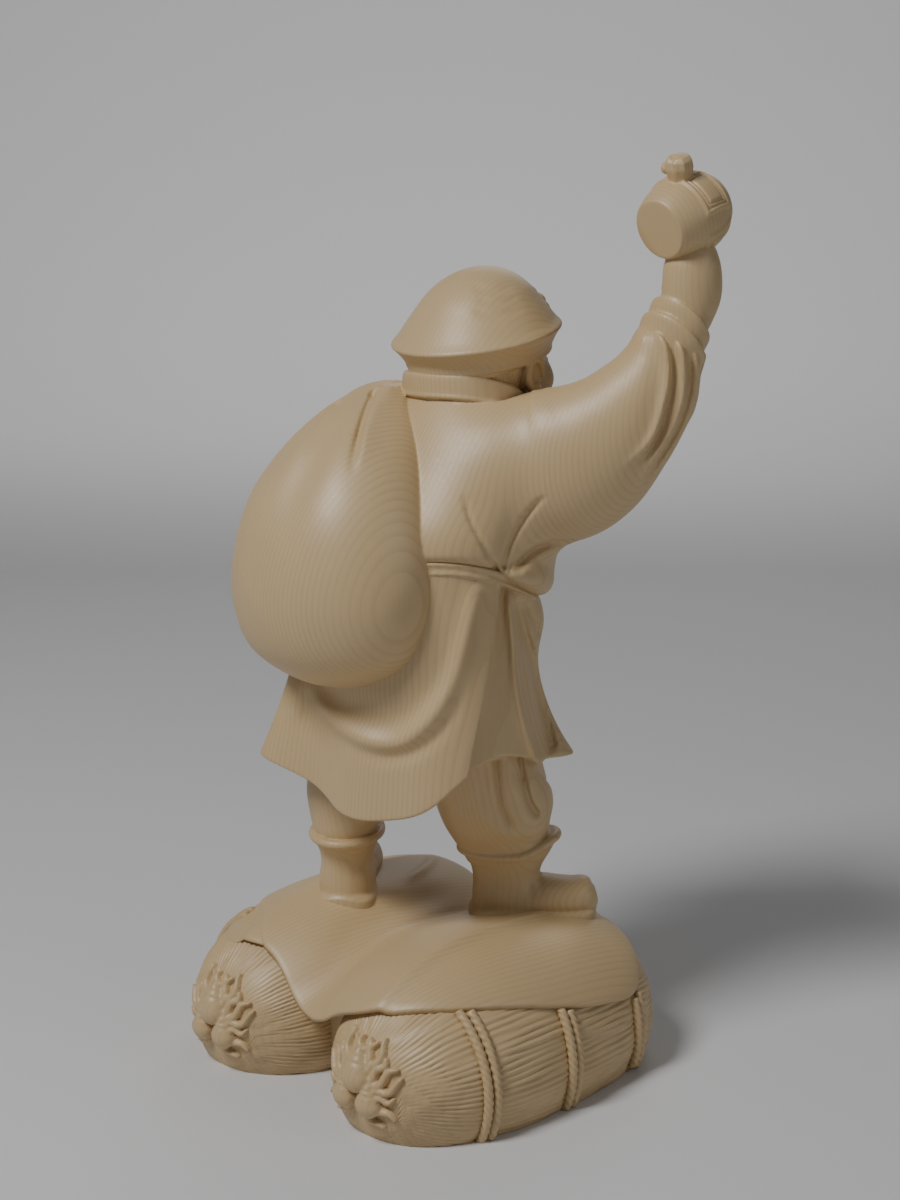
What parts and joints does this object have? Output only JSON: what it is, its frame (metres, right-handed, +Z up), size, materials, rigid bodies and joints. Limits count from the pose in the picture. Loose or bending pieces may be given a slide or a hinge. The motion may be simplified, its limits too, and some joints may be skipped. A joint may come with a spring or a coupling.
{
  "type": "carved wooden statue of a sack-bearer on bales",
  "caption": "Carved wooden figure in cap and robe, sack over the shoulder, mallet held high, standing on straw bales.",
  "frame": {"origin": "on the ground, under the middle of the outline seen from above", "axes": "+Z up, the figure faces -Y, its raised right hand is on the -X side"},
  "size_m": [0.1314, 0.1002, 0.2472],
  "materials": {
    "carved_wood": "bare pale wood, satin, fine growth-ring lines",
    "mallet_wood": "bare pale wood, satin, growth-ring lines round the barrel"
  },
  "bodies": {
    "root": {"figure_on_bales": "carved_wood", "mallet": "mallet_wood"}
  },
  "joints": []
}
